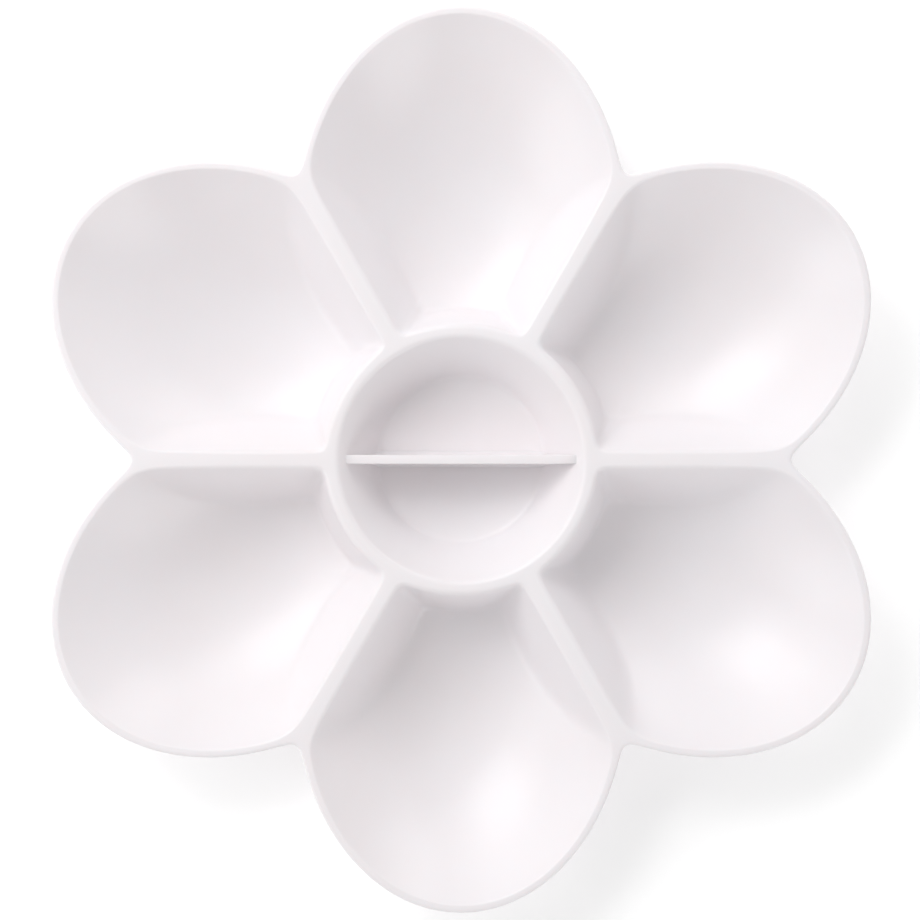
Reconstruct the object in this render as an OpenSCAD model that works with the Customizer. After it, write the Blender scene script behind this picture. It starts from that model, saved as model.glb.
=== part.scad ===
// Flower-shaped mixing palette: six petal wells round a hub well with a thin centre divider.
// Millimetres. +Z is up, the palette stands on z = 0, the origin is under the middle of the hub.
// Petal axes lie at 30, 90, 150, 210, 270 and 330 degrees; the divider runs along X.
// The rim, the ridges between the petals and the hub ring all share one flat top plane.

/* [Overall] */
// Tip to tip over two opposite petals
across = 180; // [150:1:220]
// Table to rim
height = 18; // [15:0.5:24]

/* [Shell] */
// Wall and floor thickness
wall = 1.8; // [1.4:0.1:2.4]
// Width of the rim at the top
rim = 1.5; // [1.3:0.1:2]
// Half width of a ridge between two petals
ridge_half = 1.7; // [1.4:0.1:2.2]
// Rounding of the crest edges
crest_round = 0.6; // [0.3:0.05:0.65]

/* [Petal wells] */
// Thickness under the lowest point of a petal well, where the palette stands
floor_thick = 1.4; // [1:0.1:1.6]
// Fullness of the scoop, 2 is a plain bowl
scoop_power = 2.1; // [1.9:0.1:2.6]
// Plan width of the ridge walls at the hub ring, were they full depth
wall_run = 7.6; // [6:0.1:9]
// Rounding of the fold between wall and scoop, as a share of the depth
fillet_share = 0.12; // [0.06:0.02:0.2]

/* [Hub well] */
// Radius of the hub well at the top of its wall
hub_top_r = 23.9; // [22.5:0.1:24.2]
// Radius of the hub floor
hub_floor_r = 16.7; // [14:0.1:19]
// Height of the edge of the hub floor
hub_base = 6; // [5:0.1:9]
// Hollow of the hub floor
hub_dish = 2.2; // [1:0.1:2.6]

/* [Divider] */
// Thickness of the divider at its top
divider_top = 1.7; // [1.2:0.1:2.4]
// Extra thickness of the divider at its foot
divider_draft = 0.5; // [0:0.1:1]
// Drop of the divider top below the rim
divider_drop = 2.3; // [1.5:0.1:5]

/* [Hidden] */
k = across / 180;          // plan scale
petals = 6;
half_sector = 180 / petals;

// Petal outline: an oval on the petal axis.
oval_u = 47.6 * k;
oval_a = 42.4 * k;
oval_b = 32.7 * k;
notch_power = 32;          // larger is a tighter notch between two petals

// Petal well: an oval scoop, cut short by the hub wall and by two ridge walls.
mid_u = 48 * k;            // lowest point of the scoop
arc_top_r = 27.0 * k;
arc_floor_r = 30.7 * k;
wall_spread = 0.06;        // the ridge walls ease off outward
corner_power = 22;         // larger is a tighter corner in the well outline
blend_power = 6;           // the same, where hub wall and ridge wall meet
far = 1000;

hub_round = 1.1;
hub_fillet = 1.2;

// ---- plan curves -------------------------------------------------------

// Distance from the middle of a petal well to the hub arc of radius h.
function to_arc(p, h) =
    let (q = mid_u * cos(p), d = q * q - mid_u * mid_u + h * h)
    cos(p) < 0 && d > 0 ? -q - sqrt(d) : far;

// Distance to the inner edge of a ridge.
function to_ridge(p) =
    sin(p - half_sector) > 0.05
        ? (mid_u * sin(half_sector) - ridge_half) / sin(p - half_sector) : far;

// Distance to the inside of the rim, an oval on the petal axis.
function to_rim(p) =
    let (e = mid_u - oval_u,
         a = oval_a - rim,
         b = oval_b - rim,
         qa = pow(cos(p) / a, 2) + pow(sin(p) / b, 2),
         qb = e * cos(p) / (a * a),
         qc = e * e / (a * a) - 1)
    (-qb + sqrt(qb * qb - qa * qc)) / qa;

function soft_min(list, n) =
    pow([for (x = list) pow(x, -n)] * [for (x = list) 1], -1 / n);

function folded(p) = let (m = p % 360) m > 180 ? 360 - m : m < 0 ? -m : m;

// Well outline at the top of its wall.
function top_r(p) = let (f = folded(p))
    soft_min([to_arc(f, arc_top_r), to_ridge(f), to_rim(f)], corner_power);

// Outline of the whole palette, by angle from a petal axis.
function oval_far(t) =
    let (ca = pow(cos(t) / oval_a, 2) + pow(sin(t) / oval_b, 2),
         cb = oval_u * cos(t) / (oval_a * oval_a),
         cc = pow(oval_u / oval_a, 2) - 1,
         d = cb * cb - ca * cc)
    d > 0 ? (cb + sqrt(d)) / ca : 1;
function rim_r(t) = pow(pow(oval_far(t), notch_power)
                        + pow(oval_far(2 * half_sector - t), notch_power),
                        1 / notch_power);

// ---- petal well surface ------------------------------------------------

function ramp(x) = let (c = max(0, min(1, x))) c * c * (3 - 2 * c);
function low(a, b, w) = let (h = max(w - abs(a - b), 0) / w) min(a, b) - h * h * w / 4;

// Shares of the well's depth that the steep walls and the scoop allow at a point.
function walls(p, r) =
    let (u = mid_u + r * cos(p),
         v = abs(r * sin(p)),
         across = u * sin(half_sector) - v * cos(half_sector) - ridge_half,
         along = u * cos(half_sector) + v * sin(half_sector) - arc_top_r,
         ridge = across / (wall_run * k + wall_spread * along),
         hub = (norm([u, v]) - arc_top_r) / (arc_floor_r - arc_top_r))
    soft_min([max(ridge, 1e-6), max(hub, 1e-6)], blend_power);
function scoop(p, r) = 1 - pow(r / to_rim(p), scoop_power);
function depth(p, r) = low(walls(p, r), scoop(p, r), fillet_share);

// Distance at which wall and scoop meet, halved down between two bounds.
function meet(p, lo, hi, n) =
    let (m = (lo + hi) / 2)
    n == 0 ? m : walls(p, m) < scoop(p, m) ? meet(p, lo, m, n - 1) : meet(p, m, hi, n - 1);
function fold_r(p) =
    let (f = folded(p),
         t = top_r(p),
         edge = min(0.86 * t, meet(f, 0.3 * t, t, 16)))
    edge + (0.6 * t - edge) * ramp((88 - f) / 20);

// Point on the well: s = 0 at the top of the wall, 1 at the fold, 2 in the middle.
function well(p, s) =
    let (t = top_r(p),
         b = fold_r(p),
         r = s <= 1 ? t - s * (t - b) : b * (2 - s),
         g = depth(p, r) - depth(p, t) * pow(r / t, 8),
         top = height - crest_round)
    [mid_u + r * cos(p), r * sin(p), top - (top - floor_thick) * g];

// Unit normal pointing out of the well, into the plastic.
function well_normal(p, s) =
    let (a = well(p + 0.5, s) - well(p - 0.5, s),
         b = well(p, s + 0.02) - well(p, max(0, s - 0.02)),
         n = cross(a, b),
         m = n[2] > 0 ? -n : n)
    m / norm(m);

function lip(p, e, z) =
    let (r = top_r(p) + e) [mid_u + r * cos(p), r * sin(p), z];

function skin(p, s) = well(p, s) + wall * well_normal(p, s);

half_turn = [0, 14, 28, 41, 53, 63, 71, 77, 84, 94, 107, 121, 134, 144, 150, 154, 158, 164, 172];
turn = concat(half_turn, [180], [for (i = [len(half_turn) - 1:-1:1]) 360 - half_turn[i]]);

well_rings = [0, 0.5, 0.9, 1.0, 1.07, 1.25, 1.5, 1.75];
skin_rings = [0, 0.5, 1.0, 1.12, 1.4, 1.7];

// Closed solid through a stack of rings, shut by a fan to a point at each end.
module stack(first, rings, last) {
    n = len(rings[0]);
    m = len(rings);
    pts = concat([for (r = rings) each r], [last, first]);
    sides = [for (j = [0:m - 2], i = [0:n - 1])
        each let (a = j * n + i, b = j * n + (i + 1) % n)
        [[a, b, b + n], [a, b + n, a + n]]];
    tip = [for (i = [0:n - 1]) [(m - 1) * n + i, (m - 1) * n + (i + 1) % n, m * n]];
    lid = [for (i = [0:n - 1]) [(i + 1) % n, i, m * n + 1]];
    polyhedron(pts, concat(sides, tip, lid), convexity = 6);
}

// What one petal well takes out of the plastic, with a rounded lip.
module petal_well() {
    c = crest_round;
    lips = [[c, height + 1], [c, height], [0.3 * c, height - 0.3 * c]];
    rings = concat(
        [for (l = lips) [for (p = turn) lip(p, l[0], l[1])]],
        [for (s = well_rings) [for (p = turn) well(p, s)]]);
    stack([mid_u, 0, height + 1], rings, well(0, 2));
}

// The outside of one petal: the well with the wall added to it.
module petal_skin() {
    rings = concat(
        [[for (p = turn) let (q = skin(p, 0)) [q[0], q[1], height - crest_round]]],
        [for (s = skin_rings) [for (p = turn) skin(p, s)]]);
    stack([mid_u, 0, height - crest_round], rings, well(0, 2) - [0, 0, wall]);
}

// ---- top plate and hub -------------------------------------------------

side = [30, 23, 17, 12, 8, 5, 3, 1.6, 0.7];
sector = concat([for (a = side) 30 - a], [30], [for (i = [len(side) - 1:-1:1]) 30 + side[i]]);
round_turn = [for (q = [0:petals - 1], a = sector) [q, a]];

function rim_point(a, e) =
    let (r = rim_r(a),
         x = [r * cos(a), r * sin(a)],
         y = rim_r(a + 0.2) * [cos(a + 0.2), sin(a + 0.2)],
         d = (y - x) / norm(y - x))
    x + e * [-d[1], d[0]];

function rim_ring(e, z) =
    [for (q = round_turn)
        let (m = rim_point(q[1], e), t = 2 * half_sector * q[0] + half_sector)
        [m[0] * cos(t) - m[1] * sin(t), m[0] * sin(t) + m[1] * cos(t), z]];

// The flat web that carries the rim, the ridges and the hub ring.
module web() {
    c = crest_round;
    rings = [rim_ring(c, height), rim_ring(0.3 * c, height - 0.3 * c), rim_ring(0, height - c),
             rim_ring(0, height - wall)];
    stack([0, 0, height], rings, [0, 0, height - wall]);
}

// Hub well in section, from the axis outward; t is how far it is moved into the plastic.
hub_edge = hub_floor_r * k;
function dished(r) = hub_base - hub_dish * (1 - pow(r / hub_edge, 2));
function hub_section(t, up) =
    let (c = hub_round,
         f = hub_fillet,
         top = hub_top_r * k,
         lean = atan((top - hub_edge) / (height - c - hub_base)),
         tilt = atan(2 * hub_dish / hub_edge),
         inner = [hub_edge - f, dished(hub_edge - f)] + t * [sin(tilt), -cos(tilt)],
         outer = [hub_edge + f * sin(lean), hub_base + f * cos(lean)]
                 + t * [cos(lean), -sin(lean)],
         turn = (tilt + 90 - lean) / 2,
         middle = [hub_edge, hub_base + 0.2 * f] + t * [sin(turn), -cos(turn)],
         o = t / cos(lean))
    concat([for (x = [0, 0.3, 0.5, 0.7, 0.85])
                [x * hub_edge, dished(x * hub_edge) - t]],
           [inner, middle, outer, [top + o, height - c]],
           up > 0 ? [[top + 0.3 * c, height - 0.3 * c], [top + c, height],
                     [top + c, height + up], [0, height + up]]
                  : [[0, height - c]]);

module hub_well() {
    rotate_extrude($fn = 72) polygon(hub_section(0, 1));
}

module hub_skin() {
    rotate_extrude($fn = 60) polygon(hub_section(wall, 0));
}

// Cuts the six petals off level, which leaves an oval flat under each to stand on.
module below_table() {
    translate([-across, -across, -2 * wall]) cube([2 * across, 2 * across, 2 * wall]);
}

// ---- the pieces --------------------------------------------------------

// One-piece moulded tray: rim, ridges, hub ring, six petal wells and the hub well.
module dish() color("white") {
    difference() {
        union() {
            for (i = [0:petals - 1]) rotate(half_sector * (2 * i + 1)) petal_skin();
            hub_skin();
            web();
        }
        for (i = [0:petals - 1]) rotate(half_sector * (2 * i + 1)) petal_well();
        hub_well();
        below_table();
    }
}

// Thin upright wall along X, its ends and foot shaped to the hub well.
module centre_divider() color("white") {
    top = height - divider_drop;
    foot = divider_top / 2 + divider_draft / 2;
    intersection() {
        hub_well();
        rotate([90, 0, 90]) linear_extrude(60 * k, center = true)
            polygon([[-foot, 0], [foot, 0], [divider_top / 2, top], [-divider_top / 2, top]]);
    }
}

dish();
centre_divider();
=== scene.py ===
"""Flower-shaped mixing palette: six scooped petal wells round a divided hub well.

The tray is one moulding, so it is built here as one closed skin: a petal is
swept ring by ring, copied round the hub, and closed with the hub well, the
underside and the rim.  The centre divider is a second piece that stands in the
hub well.  Plan sizes are millimetres and are turned into metres as points are
placed.
"""

import logging
import math
from dataclasses import dataclass, field
from typing import Callable, List, Optional, Sequence, Tuple

import bmesh
import bpy
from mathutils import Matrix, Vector


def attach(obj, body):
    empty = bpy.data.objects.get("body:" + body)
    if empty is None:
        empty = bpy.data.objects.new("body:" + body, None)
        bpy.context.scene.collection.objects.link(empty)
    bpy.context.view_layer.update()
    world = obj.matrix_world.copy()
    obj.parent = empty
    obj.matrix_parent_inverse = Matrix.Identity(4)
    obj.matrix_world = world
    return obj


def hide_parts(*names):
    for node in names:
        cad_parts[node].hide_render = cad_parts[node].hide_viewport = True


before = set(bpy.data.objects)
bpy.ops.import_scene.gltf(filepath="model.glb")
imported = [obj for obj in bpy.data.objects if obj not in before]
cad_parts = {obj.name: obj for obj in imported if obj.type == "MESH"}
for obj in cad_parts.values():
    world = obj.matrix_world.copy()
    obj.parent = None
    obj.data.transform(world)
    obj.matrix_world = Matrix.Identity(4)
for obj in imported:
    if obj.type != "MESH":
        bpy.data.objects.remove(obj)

LOG = logging.getLogger("palette")
MM = 0.001
PETALS = 6
HALF_SECTOR = math.pi / PETALS
FAR = 1000.0

Point = Tuple[float, float, float]
Ring = List[Point]


# ---------------------------------------------------------------------------
# Small workshop helpers
# ---------------------------------------------------------------------------


def deselect_all() -> None:
    """Leaves nothing selected and no object active."""
    if bpy.context.object is not None and bpy.context.object.mode != "OBJECT":
        bpy.ops.object.mode_set(mode="OBJECT")
    bpy.ops.object.select_all(action="DESELECT")
    bpy.context.view_layer.objects.active = None


def take(*objects: bpy.types.Object) -> bpy.types.Object:
    """Selects some objects and makes the first one active.

    Args:
        objects: The objects to select.

    Returns:
        The active object.
    """
    deselect_all()
    for obj in objects:
        obj.select_set(True)
    bpy.context.view_layer.objects.active = objects[0]
    return objects[0]


def smooth_low(a: float, b: float, width: float) -> float:
    """Returns the lower of two values, rounded where they cross.

    Args:
        a: First value.
        b: Second value.
        width: Size of the rounded stretch.

    Returns:
        The rounded minimum.
    """
    h = max(width - abs(a - b), 0.0) / width
    return min(a, b) - h * h * width / 4.0


def ramp(x: float) -> float:
    """Returns a smooth step from 0 to 1 as x goes from 0 to 1."""
    c = max(0.0, min(1.0, x))
    return c * c * (3.0 - 2.0 * c)


def soft_min(values: Sequence[float], power: float) -> float:
    """Returns a minimum whose corners are rounded, tighter at a larger power."""
    return sum(v**-power for v in values) ** (-1.0 / power)


# ---------------------------------------------------------------------------
# Shape rules
# ---------------------------------------------------------------------------


@dataclass(frozen=True)
class PetalPlan:
    """Plan curves of one petal, on the petal's own axis, in millimetres."""

    oval_u: float = 47.6
    oval_a: float = 42.4
    oval_b: float = 32.7
    notch_power: float = 32.0
    mid_u: float = 48.0
    rim: float = 1.5
    ridge_half: float = 1.7
    arc_top_r: float = 27.0
    arc_floor_r: float = 30.7
    corner_power: float = 22.0

    def arc_hit(self, p: float, h: float) -> float:
        """Distance from the well's middle, along angle p, to a circle round the hub."""
        q = self.mid_u * math.cos(p)
        d = q * q - self.mid_u**2 + h * h
        return -q - math.sqrt(d) if math.cos(p) < 0 and d > 0 else FAR

    def line_hit(self, p: float, lean: float, off: float) -> float:
        """Distance along angle p to the line that leans away from the axis."""
        s = math.sin(p - lean)
        return (self.mid_u * math.sin(lean) - off) / s if s > 0.05 else FAR

    def rim_hit(self, p: float) -> float:
        """Distance along angle p to the inside of the rim, an oval on the axis."""
        e, a, b = self.mid_u - self.oval_u, self.oval_a - self.rim, self.oval_b - self.rim
        qa = (math.cos(p) / a) ** 2 + (math.sin(p) / b) ** 2
        qb = e * math.cos(p) / (a * a)
        qc = e * e / (a * a) - 1.0
        return (-qb + math.sqrt(qb * qb - qa * qc)) / qa

    def top_r(self, p: float) -> float:
        """Distance along angle p to the well's outline in the rim plane."""
        f = abs(p)
        hits = (
            self.arc_hit(f, self.arc_top_r),
            self.line_hit(f, HALF_SECTOR, self.ridge_half),
            self.rim_hit(f),
        )
        return soft_min(hits, self.corner_power)

    def oval_far(self, t: float) -> float:
        """Far crossing of the petal's oval by a ray from the hub at angle t."""
        ca = (math.cos(t) / self.oval_a) ** 2 + (math.sin(t) / self.oval_b) ** 2
        cb = self.oval_u * math.cos(t) / self.oval_a**2
        cc = (self.oval_u / self.oval_a) ** 2 - 1.0
        d = cb * cb - ca * cc
        return (cb + math.sqrt(d)) / ca if d > 0 else 1.0

    def outline_r(self, t: float) -> float:
        """Outline of the whole palette at angle t from a petal's axis."""
        n = self.notch_power
        near, far = self.oval_far(t), self.oval_far(2 * HALF_SECTOR - t)
        return (near**n + far**n) ** (1.0 / n)

    def outline_frame(self, t: float) -> Tuple[Vector, Vector]:
        """Point on the palette's outline and the outward direction there.

        Args:
            t: Angle from the petal's axis, within half a sector either way.

        Returns:
            The point and the unit direction, both in the petal's plan.
        """

        def at(a: float) -> Vector:
            """Returns the outline's point at an angle."""
            r = self.outline_r(abs(a)) if abs(a) <= HALF_SECTOR else self.outline_r(
                2 * HALF_SECTOR - abs(a)
            )
            return Vector((r * math.cos(a), r * math.sin(a)))

        along = at(t + 0.004) - at(t - 0.004)
        return at(t), Vector((along.y, -along.x)).normalized()

    def outline_hit(self, p: float) -> float:
        """Distance along angle p from the well's middle to the palette's outline."""
        lo, hi = 5.0, min(60.0, self.line_hit(p, HALF_SECTOR, 0.0) + 1e-9)
        for _ in range(48):
            r = (lo + hi) / 2
            u, v = self.mid_u + r * math.cos(p), r * math.sin(p)
            inside = math.hypot(u, v) < self.outline_r(abs(math.atan2(v, u)))
            lo, hi = (r, hi) if inside else (lo, r)
        return (lo + hi) / 2


@dataclass(frozen=True)
class TrayRule:
    """Heights of the moulded skin over the plan, in millimetres."""

    plan: PetalPlan = field(default_factory=PetalPlan)
    height: float = 18.0
    wall: float = 1.8
    floor: float = 1.4
    scoop_power: float = 2.1
    wall_run: float = 7.6
    wall_spread: float = 0.06
    blend_power: float = 6.0
    fillet_share: float = 0.12
    hub_corner_r: float = 24.4
    hub_floor_r: float = 16.7
    hub_base: float = 6.0
    hub_dish: float = 2.2
    ring_mid_r: float = 25.7

    def hub_slope(self) -> float:
        """Fall of the hub wall for each millimetre inward."""
        return (self.height - self.hub_base) / (self.hub_corner_r - self.hub_floor_r)

    def hub_floor_z(self, rad: float) -> float:
        """Height of the hub well's dished floor at a distance from its middle."""
        return self.hub_base - self.hub_dish * (1.0 - (rad / self.hub_floor_r) ** 2)

    def walls(self, u: float, v: float) -> float:
        """Share of the well's depth that the ridge and hub walls allow at a point."""
        pl = self.plan
        c, s = math.cos(HALF_SECTOR), math.sin(HALF_SECTOR)
        across = u * s - abs(v) * c - pl.ridge_half
        along = u * c + abs(v) * s - pl.arc_top_r
        ridge = across / (self.wall_run + self.wall_spread * along)
        hub = (math.hypot(u, v) - pl.arc_top_r) / (pl.arc_floor_r - pl.arc_top_r)
        return soft_min((max(ridge, 1e-6), max(hub, 1e-6)), self.blend_power)

    def scoop(self, p: float, r: float) -> float:
        """Share of the well's depth that the oval scoop allows at a point."""
        return 1.0 - (r / self.plan.rim_hit(p)) ** self.scoop_power

    def depth(self, p: float, r: float) -> float:
        """Share of the well's depth reached at distance r along angle p."""
        u, v = self.plan.mid_u + r * math.cos(p), r * math.sin(p)
        return smooth_low(self.walls(u, v), self.scoop(p, r), self.fillet_share)

    def fold_r(self, p: float) -> float:
        """Distance along angle p at which the steep walls fold into the scoop."""
        pl = self.plan
        top = pl.top_r(p)
        lo, hi = 0.3 * top, top
        for _ in range(24):
            r = (lo + hi) / 2
            u, v = pl.mid_u + r * math.cos(p), r * math.sin(p)
            lo, hi = (lo, r) if self.walls(u, v) < self.scoop(p, r) else (r, hi)
        edge = min(lo, 0.86 * top)
        return edge + (0.6 * top - edge) * ramp((math.radians(88) - abs(p)) / math.radians(20))

    def foot_r(self, p: float) -> float:
        """Distance along angle p to the edge of the level oval the petal stands on."""
        share = (self.wall - self.floor) / (self.height - self.floor)
        return self.plan.rim_hit(p) * share ** (1.0 / self.scoop_power)

    def well_z(self, p: float, r: float) -> float:
        """Height of a petal well at distance r from its middle along angle p."""
        top = self.plan.top_r(p)
        g = self.depth(p, r) - self.depth(p, top) * (r / top) ** 8
        return self.height - (self.height - self.floor) * g

    def crown_z(self, x: float, y: float) -> Optional[float]:
        """Height of the tray's upper face with its edges sharp.

        Args:
            x: Position along X.
            y: Position along Y.

        Returns:
            The height, or None outside the palette's outline.
        """
        pl = self.plan
        rad = math.hypot(x, y)
        a = (math.atan2(y, x) - HALF_SECTOR) % (2 * HALF_SECTOR)
        a = min(a, 2 * HALF_SECTOR - a)
        if rad > pl.outline_r(a):
            return None
        if rad < self.hub_corner_r:
            wall_z = self.height - (self.hub_corner_r - rad) * self.hub_slope()
            return max(self.hub_floor_z(rad), wall_z)
        u, v = rad * math.cos(a) - pl.mid_u, rad * math.sin(a)
        p, r = math.atan2(v, u), math.hypot(u, v)
        return self.height if r >= pl.top_r(p) else min(self.height, self.well_z(p, r))

    def skin_z(self, x: float, y: float) -> float:
        """Height of the underside: the upper face moved down through the wall.

        Args:
            x: Position along X.
            y: Position along Y.

        Returns:
            The height of the underside, never below the table.
        """
        best = (self.crown_z(x, y) or self.height) - self.wall
        steps = 24
        for i in range(steps):
            a = 2 * math.pi * i / steps
            for share in (0.25, 0.45, 0.62, 0.76, 0.87, 0.94, 0.985):
                d = share * self.wall
                z = self.crown_z(x + d * math.cos(a), y + d * math.sin(a))
                if z is not None:
                    best = min(best, z - math.sqrt(self.wall**2 - d * d))
        return max(0.0, best)


@dataclass(frozen=True)
class EdgeRound:
    """A fillet between the flat top and a wall that falls away from it."""

    radius: float
    fall: float

    def points(self, corner: float, top: float, count: int) -> List[Tuple[float, float]]:
        """Returns (distance, height) pairs from the flat round to the wall.

        Args:
            corner: Distance at which the flat and the wall would meet.
            top: Height of the flat.
            count: Number of steps over the fillet.

        Returns:
            The pairs, outermost first.
        """
        reach = self.radius * math.tan(self.fall / 2)
        made = []
        for j in range(count + 1):
            b = self.fall * j / count
            made.append(
                (
                    corner + reach - self.radius * math.sin(b),
                    top - self.radius * (1 - math.cos(b)),
                )
            )
        return made


# ---------------------------------------------------------------------------
# Sweeping rings
# ---------------------------------------------------------------------------


class RingSweep:
    """Grows a surface from a circle, one extruded edge loop at a time."""

    def __init__(self, name: str, first: Ring) -> None:
        """Adds the circle and pulls it to the first ring.

        Args:
            name: Name of the new object.
            first: Points of the first ring, in millimetres.
        """
        deselect_all()
        bpy.ops.mesh.primitive_circle_add(vertices=len(first), radius=1.0)
        self.obj: bpy.types.Object = bpy.context.object
        self.obj.name = name
        bpy.ops.object.mode_set(mode="EDIT")
        self.loop: List[int] = list(range(len(first)))
        self._settle(first)

    def _settle(self, ring: Ring) -> None:
        """Moves the current loop's points to a ring."""
        bm = bmesh.from_edit_mesh(self.obj.data)
        bm.verts.ensure_lookup_table()
        for i, point in zip(self.loop, ring):
            bm.verts[i].co = Vector(point) * MM
        bmesh.update_edit_mesh(self.obj.data)

    def extrude(self, ring: Ring) -> None:
        """Extrudes the current loop and moves the new one to a ring."""
        bpy.ops.mesh.extrude_edges_move()
        bm = bmesh.from_edit_mesh(self.obj.data)
        bm.verts.ensure_lookup_table()
        old = len(bm.verts) - len(self.loop)
        fresh = []
        for i in self.loop:
            near = [e.other_vert(bm.verts[i]).index for e in bm.verts[i].link_edges]
            fresh.append(next(n for n in near if n >= old))
        self.loop = fresh
        self._settle(ring)

    def close(self) -> bpy.types.Object:
        """Gathers the last loop into one point and leaves edit mode.

        Returns:
            The finished patch.
        """
        bpy.ops.mesh.merge(type="CENTER")
        bpy.ops.object.mode_set(mode="OBJECT")
        return self.obj


@dataclass
class PetalPatch:
    """One petal's share of the skin, from its middle out to its neighbours."""

    rule: TrayRule
    rim_steps: int = 34
    rim_gather: float = 1.45
    ridge_steps: int = 30
    ridge_gather: float = 0.75
    ring_steps: int = 12
    ring_gather: float = 1.15
    lip_steps: int = 5
    wall_shares: Sequence[float] = (
        0.08, 0.2, 0.35, 0.5, 0.64, 0.76, 0.85, 0.91, 0.955, 0.985, 1.0
    )
    scoop_shares: Sequence[float] = (
        0.015, 0.04, 0.075, 0.12, 0.18, 0.25, 0.33, 0.42, 0.52, 0.62, 0.72, 0.82, 0.91, 0.97
    )
    skirt_shares: Sequence[float] = (
        0, 0.05, 0.1, 0.15, 0.22, 0.3, 0.39, 0.49, 0.6, 0.7, 0.79, 0.87, 0.94, 1.0
    )
    belly_shares: Sequence[float] = (
        0.05, 0.12, 0.22, 0.34, 0.48, 0.62, 0.75, 0.86, 0.94, 1.0, 1.03
    )
    under_fold_gap: float = 0.9
    ridge_round: float = 1.4
    rim_round: float = 0.65
    foot_round: float = 0.35
    stations: List[Tuple[float, float]] = field(default_factory=list)
    rim_frames: List[Tuple[Vector, Vector]] = field(default_factory=list)

    def survey(self) -> None:
        """Works out the angle and reach of every station round the petal."""
        pl, rule = self.rule.plan, self.rule
        half: List[Tuple[float, float]] = []
        frames: List[Tuple[Vector, Vector]] = []
        notch = pl.outline_r(HALF_SECTOR)
        p_notch = math.atan2(
            notch * math.sin(HALF_SECTOR), notch * math.cos(HALF_SECTOR) - pl.mid_u
        )
        for i in range(self.rim_steps + 1):
            p = p_notch * (1 - (1 - i / self.rim_steps) ** self.rim_gather)
            r = pl.outline_hit(p)
            half.append((p, r))
            t = math.atan2(r * math.sin(p), pl.mid_u + r * math.cos(p))
            frames.append(pl.outline_frame(t))
        crest = notch - self.rim_round
        for i in range(1, self.ridge_steps):
            x = i / self.ridge_steps
            x -= math.sin(2 * math.pi * x) / (2 * math.pi) * self.ridge_gather
            d = crest + (rule.ring_mid_r - crest) * x
            u, v = d * math.cos(HALF_SECTOR) - pl.mid_u, d * math.sin(HALF_SECTOR)
            half.append((math.atan2(v, u), math.hypot(u, v)))
        for a in self.ring_angles():
            u = rule.ring_mid_r * math.cos(a) - pl.mid_u
            v = rule.ring_mid_r * math.sin(a)
            half.append((math.atan2(v, u), math.hypot(u, v)))
        back = [(-p, r) for p, r in reversed(half[1:-1])]
        self.stations = half + back
        self.rim_frames = frames

    def edge_ring(self, inset: float, height: Callable[[float, float], float]) -> Ring:
        """Returns the patch's outermost ring, held in from the rim.

        Args:
            inset: Distance in from the palette's outline.
            height: Height rule over the plan.

        Returns:
            The ring, on a petal whose axis is X.
        """
        made: Ring = []
        count, last = len(self.stations), len(self.rim_frames)
        for i, (p, r) in enumerate(self.stations):
            k = min(i, count - i)
            if k < last:
                spot, out = self.rim_frames[k]
                u, v = spot - out * inset
                v = -v if i != k else v
            else:
                u, v = self.rule.plan.mid_u + r * math.cos(p), r * math.sin(p)
            made.append((u, v, height(u, v)))
        return made

    def rim_points(self) -> List[Tuple[Vector, Vector]]:
        """Returns the outline's points and directions round the whole palette."""
        made = []
        for q in range(PETALS):
            axis = HALF_SECTOR * (2 * q + 1)
            c, s = math.cos(axis), math.sin(axis)
            for side in (1, -1):
                for k, (spot, out) in enumerate(self.rim_frames):
                    if side < 0 and k == 0:
                        continue
                    both = []
                    for w in (spot, out):
                        x, y = w.x, w.y * side
                        both.append(Vector((x * c - y * s, x * s + y * c)))
                    made.append((both[0], both[1]))
        return made

    def ring(self, place: Callable[[int], Tuple[float, float]]) -> Ring:
        """Returns one ring of points.

        Args:
            place: Gives the distance and height at a station number.

        Returns:
            The ring, on a petal whose axis is X.
        """
        made: Ring = []
        for i, (p, _) in enumerate(self.stations):
            r, z = place(i)
            made.append((self.rule.plan.mid_u + r * math.cos(p), r * math.sin(p), z))
        return made

    def _section(self, p: float, reach: float) -> List[Tuple[float, float]]:
        """Returns (distance, height) pairs of the well side, from the edge in."""
        rule = self.rule
        top, fold = rule.plan.top_r(p), rule.fold_r(p)
        step = 0.05
        fall = math.atan2(rule.height - rule.well_z(p, top - step), step)
        near_rim = ramp((math.radians(82) - abs(p)) / math.radians(22))
        radius = self.ridge_round + (self.rim_round - self.ridge_round) * near_rim
        lip = EdgeRound(radius, fall).points(top, rule.height, self.lip_steps)
        pairs = [(reach, rule.height), *lip]
        start = lip[-1][0]
        for s in self.wall_shares:
            r = start + (fold - start) * s
            pairs.append((r, rule.well_z(p, r)))
        for s in self.scoop_shares:
            r = fold * (1 - s)
            pairs.append((r, rule.well_z(p, r)))
        return pairs

    def build_wells(self) -> bpy.types.Object:
        """Sweeps the well side of one petal."""
        sections = [self._section(abs(p), reach) for p, reach in self.stations]
        first = self.edge_ring(self.rim_round, lambda u, v: self.rule.height)
        sweep = RingSweep("petal_well_side", first)
        for j in range(1, len(sections[0])):
            sweep.extrude(self.ring(lambda i, j=j: sections[i][j]))
        return sweep.close()

    def _under(self, p: float, reach: float) -> List[Tuple[float, float]]:
        """Returns (distance, height) pairs of the underside, from the edge in."""
        rule = self.rule
        fold, foot = rule.fold_r(p) + self.under_fold_gap, rule.foot_r(p)
        reaches = [reach + (fold - reach) * s for s in self.skirt_shares]
        reaches += [fold + (foot - fold) * s for s in self.belly_shares]
        reaches += [foot * 0.5]
        return [
            (r, self._under_z(rule.plan.mid_u + r * math.cos(p), r * math.sin(p)))
            for r in reaches
        ]

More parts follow.
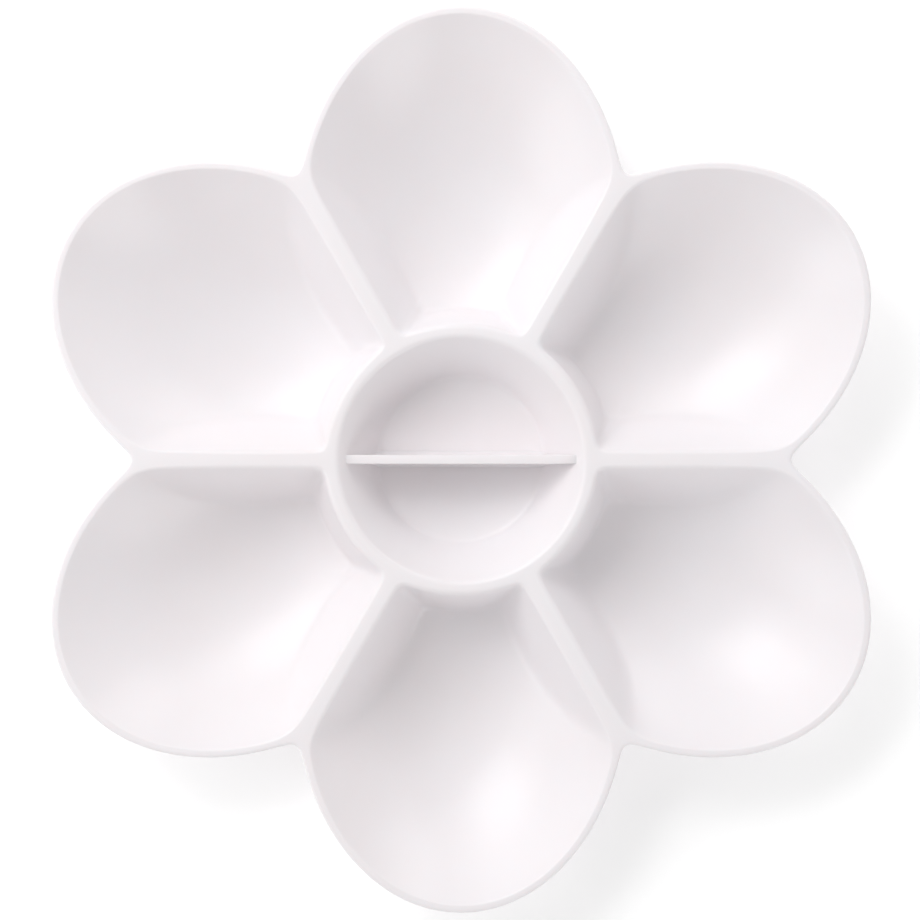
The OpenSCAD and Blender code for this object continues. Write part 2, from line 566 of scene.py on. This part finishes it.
    def _under_z(self, u: float, v: float) -> float:
        """Height of the underside at a point of a petal whose axis is X."""
        c, s = math.cos(HALF_SECTOR), math.sin(HALF_SECTOR)
        return self.rule.skin_z(u * c - v * s, u * s + v * c)

    def build_underside(self) -> bpy.types.Object:
        """Sweeps the underside of one petal."""
        count = len(self.stations)
        half = count // 2 + 1
        made = [self._under(p, reach) for p, reach in self.stations[:half]]
        sections = [made[i] if i < half else made[count - i] for i in range(count)]
        first = self.edge_ring(self.foot_round, self._under_z)
        sweep = RingSweep("petal_underside", first)
        for j in range(1, len(sections[0])):
            sweep.extrude(self.ring(lambda i, j=j: sections[i][j]))
        return sweep.close()

    def ring_angles(self) -> List[float]:
        """Returns the angles from a petal's axis of its stations on the hub ring."""
        count = self.ring_steps
        return [HALF_SECTOR * (1 - i / count) ** self.ring_gather for i in range(count + 1)]

    def hub_angles(self) -> List[float]:
        """Returns the angles round the hub at which the petals meet its ring."""
        part = self.ring_angles()
        one = [-a for a in part] + [a for a in reversed(part[:-1])]
        angles = []
        for q in range(PETALS):
            axis = HALF_SECTOR * (2 * q + 1)
            angles += [axis + a for a in one[:-1]]
        return angles


@dataclass
class HubPatch:
    """The round hub well, inside the ring that the petals share."""

    rule: TrayRule
    angles: Sequence[float]
    lip_radius: float = 1.6
    foot_radius: float = 2.0
    lip_steps: int = 5
    wall_steps: int = 5
    foot_steps: int = 6
    floor_shares: Sequence[float] = (0.96, 0.9, 0.82, 0.72, 0.6, 0.47, 0.33, 0.2, 0.08)
    skirt_radii: Sequence[float] = (
        25.35, 25.0, 24.6, 24.1, 23.4, 22.4, 21.4, 20.4, 19.6, 19.0, 18.5, 18.0
    )
    belly_radii: Sequence[float] = (17.5, 17.0, 16.4, 15.5, 14.0, 12.0, 9.5, 7.0, 4.5, 2.0)

    def _ring(self, r: float, height: Callable[[float, float], float]) -> Ring:
        """Returns a ring of radius r with heights from a rule."""
        made: Ring = []
        for a in self.angles:
            x, y = r * math.cos(a), r * math.sin(a)
            made.append((x, y, height(x, y)))
        return made

    def build_wells(self) -> bpy.types.Object:
        """Sweeps the hub well's inner face."""
        rule = self.rule
        fall = math.atan(rule.hub_slope())
        pairs = [(rule.ring_mid_r, rule.height)]
        lip = EdgeRound(self.lip_radius, fall)
        pairs += lip.points(rule.hub_corner_r, rule.height, self.lip_steps)
        tilt = math.atan(2 * rule.hub_dish / rule.hub_floor_r)
        turn = fall - tilt
        reach = self.foot_radius * math.tan(turn / 2)
        foot = (
            rule.hub_floor_r + reach * math.cos(fall),
            rule.hub_base + reach * math.sin(fall),
        )
        start = pairs[-1]
        for j in range(1, self.wall_steps + 1):
            share = j / self.wall_steps
            pairs.append(tuple(a + (b - a) * share for a, b in zip(start, foot)))
        middle = (
            foot[0] - self.foot_radius * math.sin(fall),
            foot[1] + self.foot_radius * math.cos(fall),
        )
        for j in range(1, self.foot_steps + 1):
            b = fall - turn * j / self.foot_steps
            pairs.append(
                (
                    middle[0] + self.foot_radius * math.sin(b),
                    middle[1] - self.foot_radius * math.cos(b),
                )
            )
        edge, low = pairs[-1]
        gap = low - rule.hub_floor_z(edge)
        for s in self.floor_shares:
            pairs.append((edge * s, rule.hub_floor_z(edge * s) + gap * s**4))
        sweep = RingSweep("hub_well_side", self._ring(pairs[0][0], lambda x, y: rule.height))
        for r, z in pairs[1:]:
            sweep.extrude(self._ring(r, lambda x, y, z=z: z))
        return sweep.close()

    def build_underside(self) -> bpy.types.Object:
        """Sweeps the underside of the hub well."""
        rule = self.rule
        sweep = RingSweep("hub_underside", self._ring(rule.ring_mid_r, rule.skin_z))
        for r in (*self.skirt_radii, *self.belly_radii):
            sweep.extrude(self._ring(r, rule.skin_z))
        return sweep.close()


# ---------------------------------------------------------------------------
# Finishes
# ---------------------------------------------------------------------------


@dataclass(frozen=True)
class MouldedWhite:
    """Injection-moulded white plastic, softly glossy, with a faint lilac cast."""

    name: str
    body: Tuple[float, float, float] = (0.866, 0.826, 0.84)
    cool: Tuple[float, float, float] = (0.876, 0.85, 0.872)
    speck: Tuple[float, float, float] = (0.30, 0.26, 0.25)
    speck_cells: float = 42.0
    speck_reach: float = 0.011
    speck_rarity: float = 0.8
    roughness_low: float = 0.285
    roughness_high: float = 0.345
    peel: float = 0.05

    def build(self) -> bpy.types.Material:
        """Builds the node material.

        Returns:
            The finished material.
        """
        mat = bpy.data.materials.new(self.name)
        mat.use_nodes = True
        tree = mat.node_tree
        nodes, links = tree.nodes, tree.links
        shader = nodes["Principled BSDF"]
        coords = nodes.new("ShaderNodeTexCoord")

        def noise(scale: float, detail: float, rough: float = 0.5) -> bpy.types.Node:
            """Adds a noise pattern on the piece's own coordinates."""
            node = nodes.new("ShaderNodeTexNoise")
            node.inputs["Scale"].default_value = scale
            node.inputs["Detail"].default_value = detail
            node.inputs["Roughness"].default_value = rough
            links.new(coords.outputs["Object"], node.inputs["Vector"])
            return node

        flow = noise(28.0, 3.0)
        shade = nodes.new("ShaderNodeValToRGB")
        shade.color_ramp.elements[0].position = 0.3
        shade.color_ramp.elements[0].color = (*self.body, 1)
        shade.color_ramp.elements[1].position = 0.72
        shade.color_ramp.elements[1].color = (*self.cool, 1)
        links.new(flow.outputs["Fac"], shade.inputs["Fac"])

        cells = nodes.new("ShaderNodeTexVoronoi")
        cells.inputs["Scale"].default_value = self.speck_cells
        links.new(coords.outputs["Object"], cells.inputs["Vector"])
        dot = nodes.new("ShaderNodeMath")
        dot.operation = "LESS_THAN"
        dot.inputs[1].default_value = self.speck_reach
        links.new(cells.outputs["Distance"], dot.inputs[0])
        split = nodes.new("ShaderNodeSeparateColor")
        links.new(cells.outputs["Color"], split.inputs["Color"])
        few = nodes.new("ShaderNodeMath")
        few.operation = "GREATER_THAN"
        few.inputs[1].default_value = self.speck_rarity
        links.new(split.outputs["Red"], few.inputs[0])
        both = nodes.new("ShaderNodeMath")
        both.operation = "MULTIPLY"
        links.new(dot.outputs[0], both.inputs[0])
        links.new(few.outputs[0], both.inputs[1])
        mix = nodes.new("ShaderNodeMix")
        mix.data_type = "RGBA"
        links.new(both.outputs[0], mix.inputs["Factor"])
        links.new(shade.outputs["Color"], mix.inputs["A"])
        mix.inputs["B"].default_value = (*self.speck, 1)
        links.new(mix.outputs["Result"], shader.inputs["Base Color"])

        smear = noise(70.0, 4.0, 0.6)
        gloss = nodes.new("ShaderNodeMapRange")
        gloss.inputs["From Min"].default_value = 0.3
        gloss.inputs["From Max"].default_value = 0.7
        gloss.inputs["To Min"].default_value = self.roughness_low
        gloss.inputs["To Max"].default_value = self.roughness_high
        links.new(smear.outputs["Fac"], gloss.inputs["Value"])
        links.new(gloss.outputs["Result"], shader.inputs["Roughness"])

        peel = noise(260.0, 2.0)
        bump = nodes.new("ShaderNodeBump")
        bump.inputs["Strength"].default_value = self.peel
        bump.inputs["Distance"].default_value = 0.0004
        links.new(peel.outputs["Fac"], bump.inputs["Height"])
        links.new(bump.outputs["Normal"], shader.inputs["Normal"])

        shader.inputs["IOR"].default_value = 1.5
        shader.inputs["Subsurface Weight"].default_value = 0.12
        shader.inputs["Subsurface Radius"].default_value = (1.0, 0.75, 0.7)
        shader.inputs["Subsurface Scale"].default_value = 0.0015
        return mat


# ---------------------------------------------------------------------------
# The pieces
# ---------------------------------------------------------------------------


@dataclass
class Tray:
    """The one-piece moulded tray: rim, ridges, petal wells and hub well."""

    rule: TrayRule
    crest_steps: int = 5
    foot_steps: int = 4
    weld_gap: float = 2e-6

    def _ring_of_petals(self, petal: bpy.types.Object) -> List[bpy.types.Object]:
        """Copies one petal patch round the hub, each copy with its own mesh."""
        made = []
        take(petal)
        bpy.ops.transform.rotate(
            value=HALF_SECTOR, orient_axis="Z", center_override=(0.0, 0.0, 0.0)
        )
        bpy.ops.object.transform_apply(location=True, rotation=True, scale=True)
        made.append(petal)
        for _ in range(PETALS - 1):
            take(made[-1])
            bpy.ops.object.duplicate()
            copy = bpy.context.object
            bpy.ops.transform.rotate(
                value=2 * HALF_SECTOR, orient_axis="Z", center_override=(0.0, 0.0, 0.0)
            )
            bpy.ops.object.transform_apply(location=True, rotation=True, scale=True)
            made.append(copy)
        return made

    def _weld(self, parts: Sequence[bpy.types.Object], name: str) -> bpy.types.Object:
        """Joins patches and merges the points that they share."""
        whole = take(*parts)
        bpy.ops.object.join()
        whole.name = name
        bpy.ops.object.mode_set(mode="EDIT")
        bpy.ops.mesh.select_all(action="SELECT")
        bpy.ops.mesh.remove_doubles(threshold=self.weld_gap)
        bpy.ops.object.mode_set(mode="OBJECT")
        return whole

    def build(self) -> bpy.types.Object:
        """Builds the tray as one closed mesh.

        Returns:
            The finished tray.
        """
        petal = PetalPatch(self.rule)
        petal.survey()
        hub = HubPatch(self.rule, petal.hub_angles())
        wells = self._weld(
            [*self._ring_of_petals(petal.build_wells()), hub.build_wells()], "tray"
        )
        under = self._weld(
            [*self._ring_of_petals(petal.build_underside()), hub.build_underside()], "under"
        )
        self._settle_underside(under)
        self._grow_rim(wells, petal)
        tray = self._weld([wells, under], "tray")
        tray.data.name = "tray"
        bpy.ops.object.mode_set(mode="EDIT")
        bpy.ops.mesh.select_all(action="SELECT")
        bpy.ops.mesh.normals_make_consistent(inside=False)
        bpy.ops.object.mode_set(mode="OBJECT")
        bpy.ops.object.shade_smooth()
        return tray

    def _grow_rim(self, wells: bpy.types.Object, petal: PetalPatch) -> None:
        """Extrudes the crest of the rim outward, down and under.

        Args:
            wells: The welded upper face, open along the rim's crest.
            petal: The surveyed petal, which knows the outline.
        """
        top, rr, fr = self.rule.height, petal.rim_round, petal.foot_round
        steps: List[Tuple[float, Callable[[Vector], float]]] = []
        for j in range(1, self.crest_steps + 1):
            b = math.pi / 2 * j / self.crest_steps
            z = top - rr * (1 - math.cos(b))
            steps.append((rr * (1 - math.sin(b)), lambda w, z=z: z))

        def under(w: Vector, lift: float = 0.0) -> float:
            """Returns the height of the underside at a point, raised a little."""
            return self.rule.skin_z(w.x, w.y) + lift

        for j in range(self.foot_steps):
            b = math.pi / 2 * j / self.foot_steps
            lift = fr * (1 - math.sin(b))
            steps.append((fr * (1 - math.cos(b)), lambda w, lift=lift: under(w, lift)))
        steps.append((fr, under))
        take(wells)
        bpy.ops.object.mode_set(mode="EDIT")
        bpy.ops.mesh.select_mode(type="EDGE")
        bpy.ops.mesh.select_all(action="DESELECT")
        bm = bmesh.from_edit_mesh(wells.data)
        for e in bm.edges:
            e.select = e.is_boundary and e.verts[0].co.xy.length > 0.05
        bmesh.update_edit_mesh(wells.data)
        spots = petal.rim_points()
        held = {}
        for v in (v for v in bm.verts if v.select):
            near = min(spots, key=lambda f: ((f[0] - f[1] * rr) * MM - v.co.xy).length)
            held[v.index] = near
        for inset, height in steps:
            bpy.ops.mesh.extrude_edges_move()
            bm = bmesh.from_edit_mesh(wells.data)
            bm.verts.ensure_lookup_table()
            fresh = {}
            for index, (spot, out) in held.items():
                twin = next(
                    e.other_vert(bm.verts[index])
                    for e in bm.verts[index].link_edges
                    if e.other_vert(bm.verts[index]).select
                    and not bm.verts[index].select
                )
                w = spot - out * inset
                twin.co = Vector((w.x, w.y, height(spot - out * min(inset, fr)))) * MM
                fresh[twin.index] = (spot, out)
            held = fresh
            bmesh.update_edit_mesh(wells.data)
        bpy.ops.object.mode_set(mode="OBJECT")

    def _settle_underside(self, under: bpy.types.Object) -> None:
        """Eases the folds of the underside, as a mould's radii do."""
        take(under)
        bpy.ops.object.mode_set(mode="EDIT")
        bpy.ops.mesh.select_mode(type="VERT")
        bpy.ops.mesh.select_all(action="DESELECT")
        bm = bmesh.from_edit_mesh(under.data)
        for v in bm.verts:
            v.select = not v.is_boundary and v.co.z > 0.0002
        bm.select_flush(False)
        bmesh.update_edit_mesh(under.data)
        bpy.ops.mesh.vertices_smooth(factor=0.5, repeat=3)
        bpy.ops.object.mode_set(mode="OBJECT")


@dataclass
class CentreDivider:
    """Thin upright wall across the hub well, square at its top edges."""

    rule: TrayRule
    top_drop: float = 2.3
    half_top: float = 0.85
    half_foot: float = 1.1
    foot_flare: float = 0.7
    flare_height: float = 1.4
    bays: int = 8
    level_shares: Sequence[float] = (0.02, 0.045, 0.08, 0.12, 0.18, 0.3, 0.6)
    edge: float = 0.14
    bite: float = 0.12

    def _reach(self, z: float) -> float:
        """Half length of the divider at a height, where it meets the hub wall."""
        rule = self.rule
        return rule.hub_corner_r - (rule.height - z) / rule.hub_slope()

    def build(self) -> bpy.types.Object:
        """Builds the divider.

        Returns:
            The finished piece.
        """
        rule = self.rule
        top = rule.height - self.top_drop
        deselect_all()
        bpy.ops.mesh.primitive_cube_add(size=2.0, location=(0, 0, 0))
        wall = bpy.context.object
        wall.name = "divider"
        wall.data.name = "divider"
        bpy.ops.object.mode_set(mode="EDIT")
        for share in self.level_shares:
            bpy.ops.mesh.select_all(action="SELECT")
            bpy.ops.mesh.bisect(plane_co=(0, 0, 2 * share - 1), plane_no=(0, 0, 1))
        for x in range(-self.bays + 1, self.bays):
            bpy.ops.mesh.select_all(action="SELECT")
            bpy.ops.mesh.bisect(plane_co=(x / self.bays, 0, 0), plane_no=(1, 0, 0))
        bm = bmesh.from_edit_mesh(wall.data)
        for v in bm.verts:
            share = (v.co.z + 1) / 2
            low = rule.hub_floor_z(v.co.x * rule.hub_floor_r) - self.bite
            z = low + (top - low) * share
            half = self.half_foot + (self.half_top - self.half_foot) * share
            half += self.foot_flare * max(0.0, 1 - (z - low) / self.flare_height) ** 2.2
            spot = Vector((v.co.x * (self._reach(z) + self.bite), math.copysign(half, v.co.y), z))
            v.co = spot * MM
        bmesh.update_edit_mesh(wall.data)
        bpy.ops.mesh.select_mode(type="EDGE")
        bpy.ops.mesh.select_all(action="DESELECT")
        bm = bmesh.from_edit_mesh(wall.data)
        for e in bm.edges:
            e.select = all(v.co.z > (top - 0.01) * MM for v in e.verts)
        bmesh.update_edit_mesh(wall.data)
        bpy.ops.mesh.bevel(offset=self.edge * MM, segments=3, affect="EDGES")
        bpy.ops.mesh.select_all(action="SELECT")
        bpy.ops.mesh.normals_make_consistent(inside=False)
        bpy.ops.object.mode_set(mode="OBJECT")
        bpy.ops.object.shade_smooth_by_angle(angle=math.radians(35))
        return wall


# ---------------------------------------------------------------------------
# The studio
# ---------------------------------------------------------------------------


@dataclass(frozen=True)
class Softbox:
    """One square softbox that faces the palette: degrees, metres and watts."""

    name: str
    azimuth: float
    elevation: float
    power: float
    distance: float = 0.9
    size: float = 0.45

    def hang(self) -> None:
        """Adds the light to the scene."""
        a, e = math.radians(self.azimuth), math.radians(self.elevation)
        way = Vector((math.cos(a) * math.cos(e), math.sin(a) * math.cos(e), math.sin(e)))
        data = bpy.data.lights.new(self.name, "AREA")
        data.shape = "SQUARE"
        data.size = self.size
        data.energy = self.power
        lamp = bpy.data.objects.new(self.name, data)
        lamp.location = way * self.distance
        lamp.rotation_euler = (-way).to_track_quat("-Z", "Y").to_euler()
        bpy.context.scene.collection.objects.link(lamp)


@dataclass
class Studio:
    """White table, soft lights and the camera looking straight down."""

    rule: TrayRule
    frame_width: float = 0.18244
    lift: float = 1.0
    table_glow: float = 0.25
    key_bank: Tuple[Softbox, ...] = (
        Softbox("key_right", 100, 45, 1.06),
        Softbox("key_middle", 130, 45, 2.38),
        Softbox("key_left", 160, 45, 1.13),
    )
    side_fills: Tuple[Softbox, ...] = (
        Softbox("side_right", 60, 22, 1.12),
        Softbox("side_left", 200, 22, 1.08),
    )
    low_fill: Softbox = Softbox("low_fill", 307, 13, 6.2, distance=1.5, size=0.9)
    room: Tuple[Tuple[float, float], ...] = ((9, 0.47), (29, 0.63), (51, 0.27), (75, 0.63))

    def _table(self) -> None:
        """Lays the glowing white table under the palette."""
        deselect_all()
        bpy.ops.mesh.primitive_plane_add(size=6.0, location=(0, 0, -0.0002))
        table = bpy.context.object
        table.name = "table"
        mat = bpy.data.materials.new("white_table")
        mat.use_nodes = True
        shader = mat.node_tree.nodes["Principled BSDF"]
        shader.inputs["Base Color"].default_value = (0.92, 0.92, 0.92, 1)
        shader.inputs["Roughness"].default_value = 0.7
        shader.inputs["Specular IOR Level"].default_value = 0.2
        shader.inputs["Emission Color"].default_value = (1, 1, 1, 1)
        shader.inputs["Emission Strength"].default_value = self.table_glow
        table.data.materials.append(mat)

    def _room(self) -> None:
        """Surrounds the table with pale light, graded by height above the horizon."""
        world = bpy.data.worlds.new("room")
        bpy.context.scene.world = world
        world.use_nodes = True
        nodes, links = world.node_tree.nodes, world.node_tree.links
        coords = nodes.new("ShaderNodeTexCoord")
        split = nodes.new("ShaderNodeSeparateXYZ")
        shade = nodes.new("ShaderNodeValToRGB")
        links.new(coords.outputs["Generated"], split.inputs["Vector"])
        links.new(split.outputs["Z"], shade.inputs["Fac"])
        links.new(shade.outputs["Color"], nodes["Background"].inputs["Color"])
        stops = shade.color_ramp.elements
        while len(stops) < len(self.room):
            stops.new(0.5)
        for stop, (height, level) in zip(stops, self.room):
            stop.position = math.sin(math.radians(height))
            stop.color = (level, level, level, 1)

    def _camera(self) -> None:
        """Sets the camera straight over the hub."""
        cam = bpy.data.cameras.new("overhead")
        cam.sensor_width = 36.0
        cam.lens = cam.sensor_width * self.lift / self.frame_width
        cam.clip_start, cam.clip_end = 0.05, 20.0
        eye = bpy.data.objects.new("overhead", cam)
        eye.location = (-0.0002, -0.0001, self.lift + self.rule.height * MM)
        bpy.context.scene.collection.objects.link(eye)
        bpy.context.scene.camera = eye

    def build(self) -> None:
        """Sets the table, lights, surroundings and camera."""
        self._table()
        for box in (*self.key_bank, *self.side_fills, self.low_fill):
            box.hang()
        self._room()
        self._camera()
        bpy.context.scene.view_settings.view_transform = "Standard"
        bpy.context.scene.view_settings.look = "None"


# ---------------------------------------------------------------------------
# Putting it together
# ---------------------------------------------------------------------------


def dress(piece: bpy.types.Object, finish: MouldedWhite, node: str) -> None:
    """Gives a piece its finish and its place in the model.

    Args:
        piece: The finished piece.
        finish: Its finish.
        node: The CAD node that it stands for, which is hidden.
    """
    piece.data.materials.clear()
    piece.data.materials.append(finish.build())
    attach(piece, "root")
    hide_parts(node)
    LOG.info("%s: %d faces", piece.name, len(piece.data.polygons))


def main() -> None:
    """Builds the palette and its studio, piece by piece."""
    logging.basicConfig(level=logging.INFO, format="%(name)s %(message)s")
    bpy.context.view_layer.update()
    rule = TrayRule()
    dress(Tray(rule).build(), MouldedWhite("moulded_white"), "dish")
    dress(CentreDivider(rule).build(), MouldedWhite("divider_white"), "centre_divider")
    Studio(rule).build()
    bpy.context.view_layer.update()


if __name__ == "__main__":
    main()
